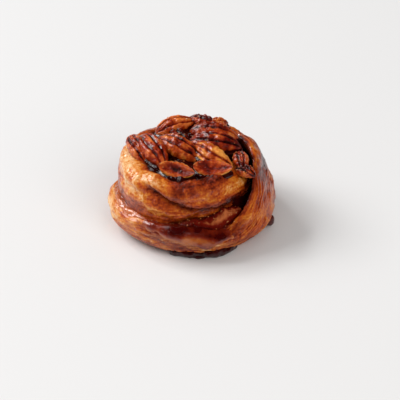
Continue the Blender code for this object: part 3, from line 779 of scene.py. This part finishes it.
gold_skin = add_node(
    tree,
    "ShaderNodeValToRGB",
    links={"Fac": dipped},
    stops=((0.0, "#340602"), (0.3, "#8c2406"), (0.6, "#c65a12"), (1.0, "#efb04c")),
).outputs["Color"]
nut_colour = add_node(
    tree, "ShaderNodeMix", None, {0: gold, 6: red_skin, 7: gold_skin}, data_type="RGBA"
).outputs[2]
tree.links.new(nut_colour, shader.inputs["Base Color"])
crystals = add_node(
    tree, "ShaderNodeBump", {"Strength": 0.9, "Distance": CRYSTAL_DEPTH * MM}, {"Height": sugar}
).outputs["Normal"]
tree.links.new(crystals, shader.inputs["Normal"])

nut_tops = []
for number, (x, y, z, yaw, pitch, roll, share, lightness, golden) in enumerate(NUTS, 1):
    broad = 0.9 * share + 0.1 if share > 0.5 else 1.3 * share
    length, width = PECAN_LENGTH * share, PECAN_WIDTH * broad
    face_up = abs(roll) > 90
    rings, dips, rim = pecan_rings(length, width, PECAN_THICKNESS * broad, seed=200 + 13 * number)
    turned = np.array(Euler([math.radians(a) for a in (roll, pitch, yaw)]).to_matrix())
    rings = rings @ turned.T + (x, y, z) + CENTRING
    nut_tops.append(rings[rings[..., 2] > rings[..., 2].mean() + 1.0])
    nut = closed_shell(
        f"pecan_half_{number:02d}",
        rings,
        groove=dips,
        lightness=lightness + (0.9 * golden - 0.3 + 0.5 * face_up) * rim,
        gold=np.clip(golden + (0.1 + 0.4 * face_up) * rim, 0, 1),
    )
    nut.data.materials.append(nut_skin)
    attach(nut, "root")
    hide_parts(f"pecan_{number:02d}")
    if number not in ON_BARE_DOUGH:
        lay_cushion(number, length, width, (x, y, z), pitch, yaw)

# Sugar: grains that have only half melted, stuck to the caramel and the nuts as they set. Each is a small
# cube turned at random and half sunk, and all of them are one mesh.
SMALLEST_GRAIN, LARGEST_GRAIN = 0.28, 0.64
GRAINS_ON_BED, GRAINS_ON_LEDGE, GRAINS_ON_A_NUT = 90, 80, 14
chance = np.random.default_rng(41)
holders = [(bed_top, GRAINS_ON_BED), (ledge_top, GRAINS_ON_LEDGE)]
holders += [(nut_top, GRAINS_ON_A_NUT) for nut_top in nut_tops]
resting = np.concatenate([holder[chance.choice(len(holder), count)] for holder, count in holders])
corners = np.array([(a, b, c) for a in (-1, 1) for b in (-1, 1) for c in (-1, 1)], float)
sides = np.array([(0, 1, 3, 2), (4, 6, 7, 5), (0, 4, 5, 1), (2, 3, 7, 6), (0, 2, 6, 4), (1, 5, 7, 3)])
draws = chance.random((len(resting), 4))
turned = np.array([Euler(angles).to_matrix() for angles in (math.tau * draws[:, :3]).tolist()])
half_sizes = (SMALLEST_GRAIN + (LARGEST_GRAIN - SMALLEST_GRAIN) * draws[:, 3]) / 2
grain_points = resting[:, None] + half_sizes[:, None, None] * (corners @ turned.transpose(0, 2, 1))
grain_faces = sides + len(corners) * np.arange(len(resting))[:, None, None]
grain_mesh = bpy.data.meshes.new("sugar_grains")
grain_mesh.from_pydata(grain_points.reshape(-1, 3) * MM, [], grain_faces.reshape(-1, 4).tolist())
grains = bpy.data.objects.new("sugar_grains", grain_mesh)
HOME.objects.link(grains)

# Melted and set sugar: pale amber, smooth and hard, which gives small bright points
amber = new_material("half_melted_sugar", Base_Color=linear("#c87c4c"), Roughness=0.15)[0]
grain_mesh.materials.append(amber)
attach(grains, "root")
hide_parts("dough")

# Floor: a plain pale surface under the bun, which takes its soft shadow
FLOOR_REACH, FLOOR_DROP = 6000.0, 0.2
floor_corners = np.array([(-1, -1), (1, -1), (1, 1), (-1, 1)]) * FLOOR_REACH
floor_mesh = bpy.data.meshes.new("floor")
floor_mesh.from_pydata([(x * MM, y * MM, -FLOOR_DROP * MM) for x, y in floor_corners], [], [(0, 1, 2, 3)])
floor = bpy.data.objects.new("floor", floor_mesh)
HOME.objects.link(floor)
paint = new_material("satin_white_paint", Base_Color=linear("#dedede"), Roughness=0.35)[0]
floor.data.materials.append(paint)


# Light: a broad soft lamp high at the left, a small one behind it, a weak one at the right front, and a
# pale sky that only lights and is never mirrored.
def soft_lamp(name, where, size, watts, mirrored=True, tint=(1.0, 1.0, 1.0)):
    """A square lamp that faces the bun, placed and sized in metres, which gloss may mirror or not."""
    lamp = bpy.data.lights.new(name, "AREA")
    lamp.shape, lamp.size, lamp.energy, lamp.color = "SQUARE", size, watts, tint
    held = bpy.data.objects.new(name, lamp)
    held.location = where
    held.rotation_euler = (Vector((0, 0, 0.02)) - Vector(where)).to_track_quat("-Z", "Y").to_euler()
    held.visible_glossy = mirrored
    HOME.objects.link(held)


soft_lamp("window_light", (-2.6, 0.8, 2.2), size=1.7, watts=103.0)
soft_lamp("high_lamp", (-1.2, 1.2, 1.7), size=0.4, watts=12.0)
soft_lamp("bounce_card", (1.2, -1.6, 1.6), size=1.8, watts=28.0, mirrored=False, tint=(1.0, 0.94, 0.90))
sky = bpy.data.worlds.new("studio_sky")
bpy.context.scene.world = sky
sky.use_nodes = True
sky.node_tree.nodes["Background"].inputs["Color"].default_value = (1, 1, 1, 1)
sky.node_tree.nodes["Background"].inputs["Strength"].default_value = 0.42
sky.cycles_visibility.glossy = False
bpy.context.scene.view_settings.view_transform = "Standard"

# Camera: a long lens from the front, 34.6 degrees above level, framed as the picture is, in metres
ELEVATION, DISTANCE, FIELD_WIDTH = math.radians(34.6), 1.6, 0.254
AIM_RIGHT, AIM_UP = 0.0051, 0.00825
seen = bpy.data.cameras.new("camera")
seen.lens = seen.sensor_width * DISTANCE / FIELD_WIDTH
seen.clip_end = 30
camera = bpy.data.objects.new("camera", seen)
aim = Vector((AIM_RIGHT, AIM_UP * math.sin(ELEVATION), AIM_UP * math.cos(ELEVATION)))
camera.location = aim + DISTANCE * Vector((0, -math.cos(ELEVATION), math.sin(ELEVATION)))
camera.rotation_euler = (math.pi / 2 - ELEVATION, 0, 0)
HOME.objects.link(camera)
bpy.context.scene.camera = camera
